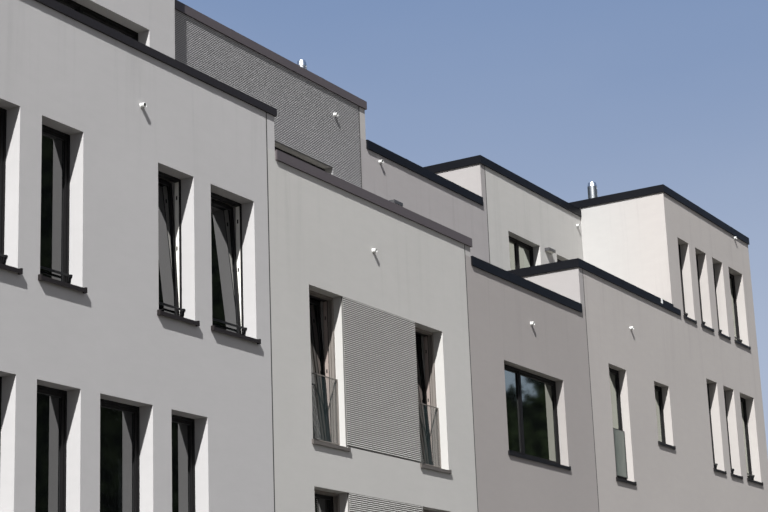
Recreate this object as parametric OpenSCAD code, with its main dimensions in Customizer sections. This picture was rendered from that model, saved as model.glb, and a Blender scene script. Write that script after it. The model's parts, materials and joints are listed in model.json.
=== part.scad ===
// Terraced row of four flat-roofed houses, named a to d from left to right.
// Each house has rendered walls, window reveals with metal sills, a roof terrace behind a
// parapet, and a penthouse storey set back from the front. House d ends in a tower whose
// front stands flush with the facade. X runs along the row, Y into the houses, Z up.

/* [Row] */
// Depth of the houses from the front face to the rear face
row_depth = 10000; // [8500:100:12000]
// Thickness of the front and rear walls
wall_t = 360; // [320:10:420]
// Thickness of a penthouse wall
pent_wall_t = 300; // [260:10:340]
// Thickness of each leaf of a party wall
leaf_t = 175; // [150:5:200]
// Thickness of the plain wall at each end of the row
end_wall_t = 240; // [200:10:300]
// Width of the movement joint between two houses
joint_gap = 24; // [15:1:30]
// Depth of the strip that closes a joint behind the wall faces
joint_in = 0; // [0:1:15]
// Thickness of that strip
joint_strip_t = 30; // [15:5:50]
// Thickness of the insulated skin where a house rises above its neighbour
skin_t = 170; // [120:10:220]
// Thickness of a floor slab
slab_t = 240; // [200:10:260]
// Height of the ground floor above the ground
base_floor = 150; // [120:10:250]
// Setback of the penthouses of houses b, c and d
pent_setback = 1800; // [1500:50:2200]

/* [House A] */
// Width between the left end and the first joint
a_width = 6000; // [5400:50:7500]
// Height of the first floor above the ground
a_first_floor = 3110; // [3000:10:3200]
// Height of each upper storey
a_storey = 2905; // [2800:5:3000]
// Head height of the ground floor windows
a_head = 2558; // [2450:1:2600]
// Clear height of a window
a_win_h = 1780; // [1400:10:1850]
// Left edges of the windows of the second floor, as shares of the width
a_top_x = [0.065, 0.2775, 0.6175, 0.7917];
// Widths of the windows of the second floor
a_top_w = [930, 690, 700, 930];
// Left edges of the windows of the first floor, as shares of the width
a_mid_x = [0.065, 0.2733, 0.444, 0.6555];
// Widths of the windows of the first floor
a_mid_w = [930, 700, 925, 700];
// Height of the parapet coping above the terrace
a_parapet_up = 828; // [700:4:950]
// Height of the penthouse coping above the terrace
a_roof_up = 3600; // [3300:20:3900]
// Setback of the penthouse
a_setback = 1600; // [1400:50:1750]
// Left edge and width of the terrace window, as shares of the width of the house
a_terrace_win = [0.5367, 0.4];
// Head of the terrace window above the terrace
a_terrace_head = 2139; // [2000:1:2250]
// Distance from the wall face to the window frames
a_reveal = 190; // [120:5:220]
// Height of the coping face
a_coping_h = 98; // [60:2:180]

/* [House B] */
// Width between its two joints
b_width = 5380; // [4900:10:6500]
// Height of the first floor of houses b and c above the ground
bc_first_floor = 2800; // [2750:10:2850]
// Height of the first storey of houses b and c
bc_storey = 2650; // [2600:10:2700]
// Height of the second storey of house b
b_top_storey = 2840; // [2750:10:2950]
// Left edges of the two window columns, as shares of the width
b_win_x = [0.1699, 0.6911];
// Widths of the tall windows of the two columns
b_win_w = [845, 815];
// Height of a tall window
b_win_h = 2040; // [1900:5:2100]
// Height of the window sill above its floor
b_sill_up = 42; // [38:2:90]
// Height of the parapet coping above the terrace
b_parapet_up = 900; // [850:5:950]
// Height of the penthouse coping above the terrace
b_roof_up = 3541; // [3400:1:3700]
// Left edge and width of the terrace window, as shares of the width of the house
b_terrace_win = [0.3922, 0.4489];
// Head of the terrace window above the terrace
b_terrace_head = 2138; // [2000:1:2250]
// Distance from the wall face to the guide rails of the blinds
b_reveal = 153; // [135:1:220]
// Height of the coping face
b_coping_h = 135; // [60:5:180]
// Depth of the guide rails that stand in front of the window frames and lead a blind
rail_d = 75; // [50:5:80]
// Width of a guide rail
rail_w = 35; // [25:1:45]
// Width of the groove that the slats run in
rail_groove_w = 18; // [10:1:24]
// Depth of that groove
rail_groove_d = 16; // [8:1:20]
// Height of the bottom bar of a raised blind
blind_bar_h = 32; // [20:1:60]
// Clearance between that bar and the rails
blind_gap = 0.5; // [0.3:0.1:0.9]

/* [House C] */
// Width between its two joints
c_width = 4420; // [4000:10:5500]
// Height of the second storey
c_top_storey = 2690; // [2650:10:2750]
// Left edge of the window column, as a share of the width
c_win_x = 0.257; // [0.2:0.001:0.3]
// Width of the two-light window
c_win_w = 2180; // [1600:10:2200]
// Height of the window
c_win_h = 1437; // [1200:1:1500]
// Height of the window sill above its floor
c_sill_up = 545; // [450:5:600]
// Width of the window beside the entrance door
c_side_w = 790; // [600:10:900]
// Share of the window width that the left light takes
c_left_light = 0.37; // [0.3:0.01:0.6]
// Height of the parapet coping above the terrace
c_parapet_up = 772; // [720:4:900]
// Height of the penthouse coping above the terrace
c_roof_up = 3037; // [2950:1:3200]
// Left edge and width of the terrace window, as shares of the width of the house
c_terrace_win = [0.3054, 0.4525];
// Head of the terrace window above the terrace
c_terrace_head = 2010; // [1950:5:2150]
// Distance from the wall face to the window frames
c_reveal = 145; // [120:5:220]

/* [House D] */
// Width between its joint and the tower
d_width = 4180; // [3900:10:4800]
// Height of the first floor above the ground
d_first_floor = 3280; // [3200:10:3400]
// Height of the first storey
d_storey = 2700; // [2650:10:2750]
// Height of the second storey
d_top_storey = 2830; // [2750:10:2900]
// Left edges of the tall and the short window, as shares of the width
d_win_x = [0.2031, 0.7002];
// Widths of the tall and the short window
d_win_w = [785, 740];
// Head of these windows above the floor
d_head_up = 2060; // [1980:10:2100]
// Height of the tall window
d_tall_h = 2018; // [1900:1:2025]
// Height of the short window
d_short_h = 1135; // [900:5:1250]
// Height of the parapet coping above the terrace
d_parapet_up = 922; // [850:2:960]
// Height of the penthouse coping above the terrace
d_roof_up = 3175; // [3100:5:3400]
// Left edges and widths of the two terrace windows, as shares of the width of the house
d_terrace_win = [[0.1981, 0.3194], [0.6962, 0.2153]];
// Heights of their feet above the terrace
d_terrace_sill_up = [690, 0];
// Head of the terrace windows above the terrace
d_terrace_head = 1979; // [1900:1:2100]
// Distance from the wall face to the window frames
d_reveal = 150; // [130:5:220]
// Height of the coping face of houses c and d and of the tower
coping_h = 150; // [60:5:180]

/* [Tower] */
// Width of the tower
tower_w = 4900; // [4400:10:5500]
// Left edges of the narrow windows, as shares of the width of the tower
slot_x = [0.1204, 0.3163, 0.5131, 0.7096];
// Widths of the narrow windows
slot_w = [600, 605, 600, 865];
// Height of a narrow window below the top floor
slot_h = 1795; // [1500:5:1850]
// Head of a narrow window above its floor
slot_head_up = 2535; // [2450:5:2550]
// Height of a narrow window of the top floor
top_slot_h = 1594; // [1400:1:1700]
// Head of the top floor windows above the top floor
top_slot_head_up = 2421; // [2350:1:2500]
// Clearance between the penthouse coping of house d and the tower coping above it
tower_step = 40; // [10:5:120]
// Length by which the parapet coping runs on across the tower front
flange_run = 370; // [0:10:450]
// Drop of the top of that run below the parapet coping
flange_drop = 40; // [0:5:60]
// Distance from the wall face to the window frames
tower_reveal = 185; // [120:5:220]

/* [Terraces and roofs] */
// Depths of the roof decks of houses a to d and of the tower below their copings
deck_drop = [450, 563, 332, 440, 265];
// Overhang of a coping past the wall face
coping_out = 28; // [15:1:70]
// Overhang of a coping on its inner side
coping_in = 30; // [20:5:60]
// Thickness of the coping above the wall top
coping_cap = 20; // [10:1:30]
// Clearance between a coping and the wall it stops against
coping_end_gap = 10; // [4:1:20]

/* [Windows] */
// Depth of a window frame
frame_d = 75; // [60:5:90]
// Visible width of a fixed window frame
frame_w = 33; // [25:1:60]
// Visible width of a sash frame
sash_w = 40; // [30:1:70]
// Clearance between a sash and its frame at the sides and the top
sash_gap = 4; // [3:1:6]
// Clearance under a sash
sash_seat = 0.3; // [0.2:0.1:0.8]
// Thickness of a sash frame
sash_d = 68; // [55:1:80]
// Thickness of a window pane
pane_t = 28; // [20:1:44]
// Angle of the windows that stand tilted open
tilt_angle = 3.5; // [2:0.5:9]
// Thickness of a metal sill
sill_t = 30; // [20:1:40]
// Projections of the sills past the wall face, for houses a to d and the tower
sill_out = [45, 28, 24, 27, 27];
// Length of a sill past the opening at each end
sill_side = 30; // [15:5:50]
// Fall of a sill for each unit of its depth
sill_slope = 0.085; // [0.05:0.005:0.1]
// Drop of the drip nose below a sill
sill_nose = 38; // [8:1:60]
// Thickness of the nose
sill_plate = 5; // [3:1:8]
// Width of the raised block at each end of a sill
sill_end_w = 24; // [10:1:30]
// Height of that block above the front edge of the sill
sill_end_h = 14; // [5:1:40]
// Height of the fall guard bar above the sill
bar_up = 135; // [100:5:220]
// Height of the fall guard bar
bar_h = 26; // [20:1:45]
// Thickness of the fall guard bar
bar_t = 12; // [8:1:20]
// Distance between the fall guard bar and the window frame
bar_off = 26; // [15:1:45]
// Thickness of the brackets that carry the bar
bracket_t = 10; // [4:1:14]
// Diameter of the knob at each end of the bar
knob_d = 40; // [30:1:50]
// Height of the glass guards above the sill
guard_h = 915; // [800:5:1000]
// Distance between a glass guard and the rails or the window frame behind it
guard_off = 12; // [10:1:40]
// Heights of the feet of the glass guards of houses b and d above the sill
guard_foot = [35, 75];
// Thickness of a glass guard
guard_t = 12; // [10:1:22]
// Width of the channel that holds a glass guard
channel_w = 16; // [12:1:22]

/* [Relief render] */
// Distance from rib to rib
rib_pitch = 27; // [24:1:40]
// Depth of a groove between two ribs
rib_depth = 12; // [5:1:14]
// Share of the pitch that the flat ridge takes
ridge_share = 0.3; // [0.2:0.05:0.6]
// Thickness of the ribbed render behind the grooves
rib_back = 18; // [10:1:30]
// Extra length of the ribbed panel below the window heads and sills
panel_drop = 5; // [0:1:30]

/* [Fittings] */
// Outer diameter of an overflow spout
spout_d = 62; // [52:1:110]
// Bore of an overflow spout
spout_bore = 50; // [40:1:60]
// Length of an overflow spout in front of the wall
spout_out = 55; // [45:5:160]
// Distances of the terrace spouts from the left joints, as shares of the widths of the houses
terrace_spout_x = [0.5658, 0.4838, 0.498, 0.4737];
// The same for the roof spouts of houses b to d and of the tower
roof_spout_x = [0.8578, 0.1364, 0.9517, 0.8194];
// Height of a spout above its terrace or roof deck
spout_up = 60; // [50:5:100]
// Distances of the flues from the left sides of house b and the tower, as shares of the widths
flue_x = [0.89, 0.4771];
// Distance of the flues from the front
flue_y = 2500; // [2450:50:6000]
// Outer diameters of the flues of house b and the tower
flue_d = [170, 210];
// Wall thickness of a flue
flue_wall = 12; // [4:1:20]
// Height of the tapered mouth of a flue
mouth_h = 90; // [50:5:140]
// Diameter of the mouth as a share of the flue
mouth_share = 0.78; // [0.7:0.01:0.95]
// Distance of the clamp band from the top of a flue
clamp_down = 430; // [300:10:600]
// Height of the clamp band
clamp_h = 36; // [20:2:60]
// Heights of the flues of house b and the tower above their roof decks
flue_h = [1185, 1370];
// Distances of the wall lamps from the left joints of houses c and d, as shares of the widths
lamp_x = [0.1957, 0.5667];
// Heights of the lamps above the terraces of houses c and d
lamp_up = [2172, 1982];
// Width of a wall lamp
lamp_w = 280; // [110:5:300]
// Projection of a wall lamp
lamp_out = 100; // [80:5:240]
// Height of a wall lamp
lamp_h = 58; // [40:1:120]
// Width of an entrance door
door_w = 1010; // [900:10:1100]
// Head height of the entrance doors
door_head = 2280; // [2200:10:2350]
// Thickness of the leaf of an entrance door
door_leaf_d = 60; // [40:5:70]

/* [Hidden] */
$fn = 48;

// Extra length of a cutting solid past the faces that it cuts
cut = 50;
half_gap = joint_gap / 2;

// Widths of the four houses and the tower, and the lines between them from the left end
houses = [0, 1, 2, 3];
last = 3;
tower = 4;
widths = [a_width, b_width, c_width, d_width, tower_w];
joints = [0, a_width, a_width + b_width, a_width + b_width + c_width,
    a_width + b_width + c_width + d_width];
tower_x = joints[tower];
row_w = tower_x + tower_w;

// Masonry of each house, from its left to its right edge
wall_l = [for (i = houses) i == 0 ? 0 : joints[i] + half_gap];
wall_r = [for (i = houses) i == last ? row_w : joints[i + 1] - half_gap];

// Inner faces of the walls that bound each house at its sides
room_l = [for (i = houses) i == 0 ? end_wall_t : wall_l[i] + leaf_t];
room_r = [for (i = houses) i == last ? row_w - end_wall_t : wall_r[i] - leaf_t];

// Where the raised part of each house ends, with its skin over a lower neighbour
edge_l = [0, wall_l[1] + skin_t, wall_l[2] + skin_t, wall_r[2] - skin_t];
edge_r = [wall_l[1] + skin_t, wall_l[2] + skin_t, wall_r[2] - skin_t, row_w];

tower_room_l = tower_x + pent_wall_t;
facade_r = [wall_r[0], wall_r[1], wall_r[2], tower_x];
rear_y = row_depth - wall_t;

// Floor levels of each house, from the ground floor to the second floor
levels = [
    [base_floor, a_first_floor, a_first_floor + a_storey],
    [base_floor, bc_first_floor, bc_first_floor + bc_storey],
    [base_floor, bc_first_floor, bc_first_floor + bc_storey],
    [base_floor, d_first_floor, d_first_floor + d_storey]];
top_storey = [a_storey, b_top_storey, c_top_storey, d_top_storey];
terrace_floor = [for (i = houses) levels[i][2] + top_storey[i]];

setback = [a_setback, pent_setback, pent_setback, pent_setback];
parapet_up = [a_parapet_up, b_parapet_up, c_parapet_up, d_parapet_up];
parapet = [for (i = houses) terrace_floor[i] + parapet_up[i]];
roof_up = [a_roof_up, b_roof_up, c_roof_up, d_roof_up];
roof = [for (i = houses) terrace_floor[i] + roof_up[i]];
tower_roof = roof[last] + tower_step + coping_h;
face_h = [a_coping_h, b_coping_h, coping_h, coping_h];
reveal = [a_reveal, b_reveal, c_reveal, d_reveal, tower_reveal];
frame_y = reveal + [0, rail_d, 0, 0, 0];
deck = [for (i = houses) roof[i] - deck_drop[i]];
tower_deck = tower_roof - deck_drop[tower];

sill_b = [for (z = levels[1]) z + b_sill_up];
sill_c = [for (z = levels[2]) z + c_sill_up];
head_d = [for (z = levels[last]) z + d_head_up];
slot_head = [for (z = levels[last]) z + slot_head_up];
top_slot_head = terrace_floor[last] + top_slot_head_up;

// An opening is [left edge, sill, width, height, share of the left light, tilt angle],
// measured from the left line of its house or of the tower
function bays(i, xs, ws, sill, h, tilts = [0, 0, 0, 0]) =
    [for (k = [0:len(xs) - 1]) [xs[k] * widths[i], sill, ws[k], h, 0, tilts[k]]];
function door(x) = [x, base_floor, door_w, door_head - base_floor, 0, 0];

a_sill = [for (k = [0:3]) a_head + k * a_storey - a_win_h];
a_tilts = [0, 0, tilt_angle, tilt_angle];
b_tilts = [tilt_angle, tilt_angle];

front_storeys_a = concat(
    bays(0, a_mid_x, a_mid_w, a_sill[1], a_win_h),
    bays(0, a_top_x, a_top_w, a_sill[2], a_win_h, a_tilts));
ground_a = bays(0, a_mid_x, a_mid_w, a_sill[0], a_win_h);
front_a = concat([for (k = [0:2]) ground_a[k]], front_storeys_a);
rear_a = concat(ground_a, front_storeys_a, bays(0, a_top_x, a_top_w, a_sill[3], a_win_h));

function b_row(sill, tilts = [0, 0]) = bays(1, b_win_x, b_win_w, sill, b_win_h, tilts);
front_storeys_b = concat(b_row(sill_b[1]), b_row(sill_b[2], b_tilts));
front_b = concat([b_row(sill_b[0])[1]], front_storeys_b);
rear_b = concat(b_row(sill_b[0]), front_storeys_b, b_row(terrace_floor[1] + b_sill_up));

c_left = c_win_x * c_width;
function c_window(sill) = [c_left, sill, c_win_w, c_win_h, c_left_light, 0];
front_c = concat([[c_left + c_win_w - c_side_w, sill_c[0], c_side_w, c_win_h, 0, 0]],
    [for (k = [1, 2]) c_window(sill_c[k])]);
rear_c = concat([for (z = sill_c) c_window(z)], [c_window(terrace_floor[2] + c_sill_up)]);

function d_pair(head) = [
    [d_win_x[0] * d_width, head - d_tall_h, d_win_w[0], d_tall_h, 0, 0],
    [d_win_x[1] * d_width, head - d_short_h, d_win_w[1], d_short_h, 0, 0]];
front_d = concat([d_pair(head_d[0])[1]], d_pair(head_d[1]), d_pair(head_d[2]));
rear_d = concat(d_pair(head_d[0]), d_pair(head_d[1]), d_pair(head_d[2]),
    d_pair(terrace_floor[last] + d_head_up));

// Three narrow windows on each storey of the tower and four on its top floor
function slots(head, h, from) =
    [for (k = [from:len(slot_x) - 1]) [slot_x[k] * tower_w, head - h, slot_w[k], h, 0, 0]];
top_slots = slots(top_slot_head, top_slot_h, 0);
tower_windows = concat([for (z = slot_head) each slots(z, slot_h, 1)], top_slots);

fronts = [front_a, front_b, front_c, front_d, tower_windows];
rears = [rear_a, rear_b, rear_c, rear_d, tower_windows];
parts = [0, 1, 2, 3, 4];
doors = [door(ground_a[3][0]), door(b_win_x[0] * b_width), door(c_left),
    door(d_win_x[0] * d_width)];

// Terrace openings, as shares of the width of house i, from foot to head above its terrace
function to_terrace(i, win, foot, head, light) =
    [win[0] * widths[i], terrace_floor[i] + foot, win[1] * widths[i], head - foot, light, 0];
terraces = [
    [to_terrace(0, a_terrace_win, 0, a_terrace_head, 0.5)],
    [to_terrace(1, b_terrace_win, 0, b_terrace_head, 0.5)],
    [to_terrace(2, c_terrace_win, 0, c_terrace_head, 0.5)],
    [to_terrace(last, d_terrace_win[0], d_terrace_sill_up[0], d_terrace_head, 0.5),
     to_terrace(last, d_terrace_win[1], d_terrace_sill_up[1], d_terrace_head, 0)]];

// Windows with a low bar, and windows with a glass guard
bar_windows = [bays(0, a_top_x, a_top_w, a_sill[2], a_win_h), [], [], [],
    concat(slots(slot_head[1], slot_h, 1), slots(slot_head[2], slot_h, 1), top_slots)];
guard_houses = [1, last];
glass_guard_windows = [front_storeys_b, [d_pair(head_d[1])[0], d_pair(head_d[2])[0]]];

// Colours as the photograph shows them
tone = ["#b4b4b5", "#b2b2ae", "#9c9998", "#aaa7a4"];
relief_tone = "#868683";
coping_tone = ["#33302f", "#5b5553", "#20252e", "#20252e"];
frame_tone = "#2c2f33";
rail_tone = "#6f6b67";
seal_tone = "#3a3836";
pipe_tone = "#d9d9d6";
steel_tone = "#b9bcbe";
glass_tone = "#3b4650";
guard_tone = "#8fa0a0";
room_tone = "#d8d6d0";
slab_tone = "#c2beb6";
deck_tone = "#8d8b87";

// Moves the row so that the middle of its outline lies over the origin
front_reach = max(spout_out, coping_out, max(sill_out));
rear_reach = max(coping_out, max(sill_out));
module place() {
    translate([-row_w / 2, (front_reach - row_depth - rear_reach) / 2, 0]) children();
}

// Turns a front into the rear of the same house
module at_rear() {
    translate([0, row_depth, 0]) mirror([0, 1, 0]) children();
}

// Box between two corners
module block(x0, y0, z0, x1, y1, z1) {
    translate([x0, y0, z0]) cube([x1 - x0, y1 - y0, z1 - z0]);
}

// Raises a drawing of X and Z into a wall that starts at y and is t thick
module raise_wall(y, t) {
    translate([0, y + t, 0]) rotate([90, 0, 0]) linear_extrude(t) children();
}

// Raises a drawing of Y and Z into a slab that starts at x and is t thick
module raise_side(x, t) {
    translate([x, 0, 0]) rotate([90, 0, 90]) linear_extrude(t) children();
}

// Holes that windows leave in the drawing of a wall, with room for the sill below each
module window_holes(i, windows) {
    for (o = windows) translate([joints[i] + o[0], o[1] - sill_t]) square([o[2], o[3] + sill_t]);
}

module door_hole(i) {
    o = doors[i];
    translate([joints[i] + o[0], o[1]]) square([o[2], o[3]]);
}

// Outline of a wall between two edges, up to the underside of its coping's cap
module facade_outline(left, right, top) {
    translate([left, 0]) square([right - left, top - coping_cap]);
}

// Drawing of a front wall between two heights
module front_drawing(i, low, high) {
    intersection() {
        difference() {
            facade_outline(wall_l[i], facade_r[i], parapet[i]);
            window_holes(i, fronts[i]);
            door_hole(i);
        }
        translate([0, low]) square([row_w, high - low]);
    }
}

module front_wall(i, low, high) {
    color(tone[i]) place() difference() {
        raise_wall(0, wall_t) front_drawing(i, low, high);
        if (i == 1) relief_recess();
    }
}

module rear_wall(i) {
    color(tone[i]) place() at_rear() raise_wall(0, wall_t) difference() {
        facade_outline(wall_l[i], facade_r[i], roof[i]);
        window_holes(i, rears[i]);
    }
}

// Wall of the tower between two heights, flush with the wall of house d beside it
module tower_wall(low, high) {
    raise_wall(0, wall_t) intersection() {
        difference() {
            facade_outline(tower_x, row_w, tower_roof);
            window_holes(tower, tower_windows);
        }
        translate([tower_x, low]) square([tower_w, high - low]);
    }
}

module tower_front(low, high) {
    color(tone[last]) place() tower_wall(low, high);
}

module tower_rear_wall() {
    color(tone[last]) place() at_rear() tower_wall(0, tower_roof);
}

// Front wall of a penthouse. House a closes the joint at its corner, house b keeps room
// for its ribbed cladding, and that of house d runs into the side wall of the tower
module penthouse_wall(i) {
    front = setback[i] + (i == 1 ? rib_total : 0);
    right = i == 0 ? wall_l[1] : i == last ? tower_room_l : facade_r[i];
    color(tone[i]) place() {
        raise_wall(front, setback[i] + pent_wall_t - front) difference() {
            translate([wall_l[i], terrace_floor[i]])
                square([right - wall_l[i], roof[i] - coping_cap - terrace_floor[i]]);
            terrace_holes(i);
        }
        if (i == last)
            block(tower_x, wall_t, terrace_floor[i],
                tower_room_l, rear_y, tower_roof - coping_cap);
    }
}

module terrace_holes(i) {
    for (o = terraces[i]) {
        drop = o[1] > terrace_floor[i] ? sill_t : 0;
        translate([joints[i] + o[0], o[1] - drop]) square([o[2], o[3] + drop]);
    }
}

// Side wall of house i: up to the terrace below it, the parapet beside it and the
// penthouse behind it
module side_drawing(i, side_top) {
    translate([wall_t, 0]) square([rear_y - wall_t, terrace_floor[i]]);
    translate([wall_t, 0]) square([setback[i] - wall_t, side_top]);
    translate([setback[i] + pent_wall_t, 0])
        square([rear_y - setback[i] - pent_wall_t, roof[i] - coping_cap]);
}

// Two leaves with the joint between them. The taller house carries its parapet round
module party_wall(i) {
    left_top = parapet[i] > parapet[i + 1] ? parapet[i] - coping_cap : terrace_floor[i];
    right_top = parapet[i] > parapet[i + 1] ? terrace_floor[i + 1] : parapet[i + 1] - coping_cap;
    raise_side(room_r[i], leaf_t) side_drawing(i, left_top);
    raise_side(wall_l[i + 1], leaf_t) side_drawing(i + 1, right_top);
}

module party_walls() {
    color(room_tone) place() for (i = [0:last - 1]) party_wall(i);
}

module end_wall_a() {
    color(tone[0]) place() raise_side(0, end_wall_t) side_drawing(0, parapet[0] - coping_cap);
}

module end_wall_tower() {
    color(tone[last]) place()
        block(row_w - end_wall_t, wall_t, 0, row_w, rear_y, tower_roof - coping_cap);
}

// Insulated side of the higher house, seated on the wall tops of the lower one
module skin_drawing(high, low) {
    high_front = parapet[high] - coping_cap;
    low_front = parapet[low] - coping_cap;
    high_back = roof[high] - coping_cap;
    low_back = roof[low] - coping_cap;
    translate([0, low_front]) square([wall_t, high_front - low_front]);
    translate([wall_t, terrace_floor[low]])
        square([setback[low] - wall_t, high_front - terrace_floor[low]]);
    translate([setback[low], low_back]) square([row_depth - setback[low], high_back - low_back]);
    if (setback[high] < setback[low])
        translate([setback[high], terrace_floor[low]])
            square([setback[low] - setback[high], high_back - terrace_floor[low]]);
}

// Each skin is rendered like the lower house that it stands on
module gable_skins() {
    color(tone[1]) place() raise_side(wall_l[1], skin_t) skin_drawing(0, 1);
    color(tone[2]) place() {
        raise_side(wall_l[2], skin_t) skin_drawing(1, 2);
        raise_side(edge_l[3], skin_t) skin_drawing(3, 2);
    }
}

// Ground slab, two storey slabs and the terrace slab of each house
module floors() {
    color(slab_tone) place() for (i = houses) {
        block(room_l[i], wall_t, 0, room_r[i], rear_y, base_floor);
        for (z = [levels[i][1], levels[i][2], terrace_floor[i]])
            block(room_l[i], wall_t, z - slab_t, room_r[i], rear_y, z);
    }
}

module roof_decks() {
    color(deck_tone) place() {
        for (i = houses)
            block(room_l[i], setback[i] + pent_wall_t, deck[i] - slab_t,
                i == last ? tower_x : room_r[i], rear_y, deck[i]);
        block(tower_room_l, wall_t, tower_deck - slab_t, room_r[last], rear_y, tower_deck);
    }
}

// Clear spans inside a frame, as [left edge, width]: one light, or two beside a mullion
function spans(o) =
    let (inner = o[2] - 2 * frame_w, left = (inner - frame_w) * o[4])
    o[4] == 0 ? [[o[0] + frame_w, inner]]
    : [[o[0] + frame_w, left], [o[0] + 2 * frame_w + left, inner - frame_w - left]];

// A frame stands on the masonry and takes up the height of the sill in front of it
module window_frame(o, y, foot) {
    raise_wall(y, frame_d) difference() {
        translate([o[0], o[1] - foot]) square([o[2], o[3] + foot]);
        for (s = spans(o)) translate([s[0], o[1] + frame_w]) square([s[1], o[3] - 2 * frame_w]);
    }
}

// Puts children in a sash: x and z from its lower left corner, y from its inner face.
// It tilts about the lower edge of that face
module in_sash(o, s, y) {
    translate([s[0] + sash_gap, y + frame_d, o[1] + frame_w + sash_seat])
        rotate([-o[5], 0, 0]) children();
}

function sash_size(o, s) = [s[1] - 2 * sash_gap, o[3] - 2 * frame_w - sash_gap - sash_seat];

module sashes(o, y) {
    for (s = spans(o)) in_sash(o, s, y) raise_wall(-sash_d, sash_d) difference() {
        square(sash_size(o, s));
        translate([sash_w, sash_w]) square(sash_size(o, s) - 2 * [sash_w, sash_w]);
    }
}

module panes(o, y) {
    for (s = spans(o)) in_sash(o, s, y) raise_wall((-sash_d - pane_t) / 2, pane_t)
        translate([sash_w, sash_w]) square(sash_size(o, s) - 2 * [sash_w, sash_w]);
}

module windows(i, list, y) {
    translate([joints[i], 0, 0]) for (o = list) {
        window_frame(o, y, sill_t);
        sashes(o, y);
    }
}

module front_windows(list) {
    color(frame_tone) place() for (i = list) windows(i, fronts[i], frame_y[i]);
}

module rear_windows() {
    color(frame_tone) place() at_rear() for (i = parts) windows(i, rears[i], frame_y[i]);
}

module penthouse_windows() {
    color(frame_tone) place() for (i = houses)
        translate([joints[i], 0, 0]) for (o = terraces[i]) {
            window_frame(o, setback[i] + reveal[i], o[1] > terrace_floor[i] ? sill_t : 0);
            sashes(o, setback[i] + reveal[i]);
        }
}

module window_glass() {
    color(glass_tone, 0.6) place() {
        for (i = parts) translate([joints[i], 0, 0]) {
            for (o = fronts[i]) panes(o, frame_y[i]);
            at_rear() for (o = rears[i]) panes(o, frame_y[i]);
        }
        for (i = houses) translate([joints[i], 0, 0])
            for (o = terraces[i]) panes(o, setback[i] + reveal[i]);
    }
}

// Metal sill: falls to the front, ends in a drip nose and has a raised block at each end
module sill(o, deep, out) {
    fall = sill_slope * (deep + out);
    fall_at_face = sill_slope * deep;
    left = o[0] - sill_side;
    right = o[0] + o[2] + sill_side;
    raise_side(o[0], o[2])
        polygon([[deep, o[1]], [0, o[1] - fall_at_face], [0, o[1] - sill_t], [deep, o[1] - sill_t]]);
    raise_side(left, right - left) polygon([[0, o[1] - fall_at_face], [-out, o[1] - fall],
        [-out, o[1] - sill_t - sill_nose], [sill_plate - out, o[1] - sill_t - sill_nose],
        [sill_plate - out, o[1] - sill_t], [0, o[1] - sill_t]]);
    for (x = [left, right - sill_end_w])
        block(x, -out, o[1] - sill_t - sill_nose, x + sill_end_w, 0, o[1] - fall + sill_end_h);
}

module window_sills() {
    color(frame_tone) place() {
        for (i = parts) translate([joints[i], 0, 0]) {
            for (o = fronts[i]) sill(o, frame_y[i], sill_out[i]);
            at_rear() for (o = rears[i]) sill(o, frame_y[i], sill_out[i]);
        }
        translate([joints[last], setback[last], 0])
            sill(terraces[last][0], reveal[last], sill_out[last]);
    }
}

// Grooved guide rails at both reveals, and the bottom bar of the raised blind under the head
module blind(o) {
    mid = b_reveal + rail_d / 2;
    for (x = [o[0], o[0] + o[2] - rail_w]) difference() {
        block(x, b_reveal, o[1], x + rail_w, b_reveal + rail_d, o[1] + o[3]);
        block(o[0] + rail_w - rail_groove_d, mid - rail_groove_w / 2, o[1] - cut,
            o[0] + o[2] - rail_w + rail_groove_d, mid + rail_groove_w / 2, o[1] + o[3] + cut);
    }
    block(o[0] + rail_w + blind_gap, b_reveal, o[1] + o[3] - blind_bar_h,
        o[0] + o[2] - rail_w - blind_gap, b_reveal + rail_d - blind_gap, o[1] + o[3]);
}

module blind_rails() {
    color(rail_tone) place() translate([joints[1], 0, 0]) {
        for (o = fronts[1]) blind(o);
        at_rear() for (o = rears[1]) blind(o);
    }
}

// Low bar in front of the frame, on a bracket with a knob at each end that stands on the frame
module guard_bar(o, y) {
    front = y - bar_off;
    middle = o[1] + bar_up + bar_h / 2;
    block(o[0] + bracket_t / 2, front - bar_t, o[1] + bar_up,
        o[0] + o[2] - bracket_t / 2, front, o[1] + bar_up + bar_h);
    for (x = [o[0], o[0] + o[2] - bracket_t]) raise_side(x, bracket_t) {
        translate([front - bar_t / 2, middle]) circle(d = knob_d);
        polygon([[y, o[1]], [y, middle], [front, middle + bar_h / 2],
            [front - bar_t, middle - bar_h / 2], [y - bar_t, o[1]]]);
    }
}

// Channels that hold a glass guard at both reveals
module guard_channels(o, y, foot) {
    for (x = [o[0], o[0] + o[2] - channel_w]) difference() {
        block(x, y - channel_w / 2, o[1] + foot,
            x + channel_w, y + guard_t + channel_w / 2, o[1] + guard_h);
        block(o[0] + channel_w / 2, y, o[1], o[0] + o[2] - channel_w / 2,
            y + guard_t, o[1] + guard_h + cut);
    }
}

guard_y = [for (i = guard_houses) reveal[i] - guard_off - guard_t];

module guard_rails() {
    color(frame_tone) place() {
        for (i = parts) translate([joints[i], 0, 0])
            for (o = bar_windows[i]) guard_bar(o, reveal[i]);
        for (k = [0, 1]) translate([joints[guard_houses[k]], 0, 0])
            for (o = glass_guard_windows[k]) guard_channels(o, guard_y[k], guard_foot[k]);
    }
}

module glass_guards() {
    color(guard_tone, 0.5) place() for (k = [0, 1]) translate([joints[guard_houses[k]], 0, 0])
        for (o = glass_guard_windows[k])
            block(o[0] + channel_w / 2, guard_y[k], o[1] + guard_foot[k],
                o[0] + o[2] - channel_w / 2, guard_y[k] + guard_t, o[1] + guard_h);
}

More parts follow.
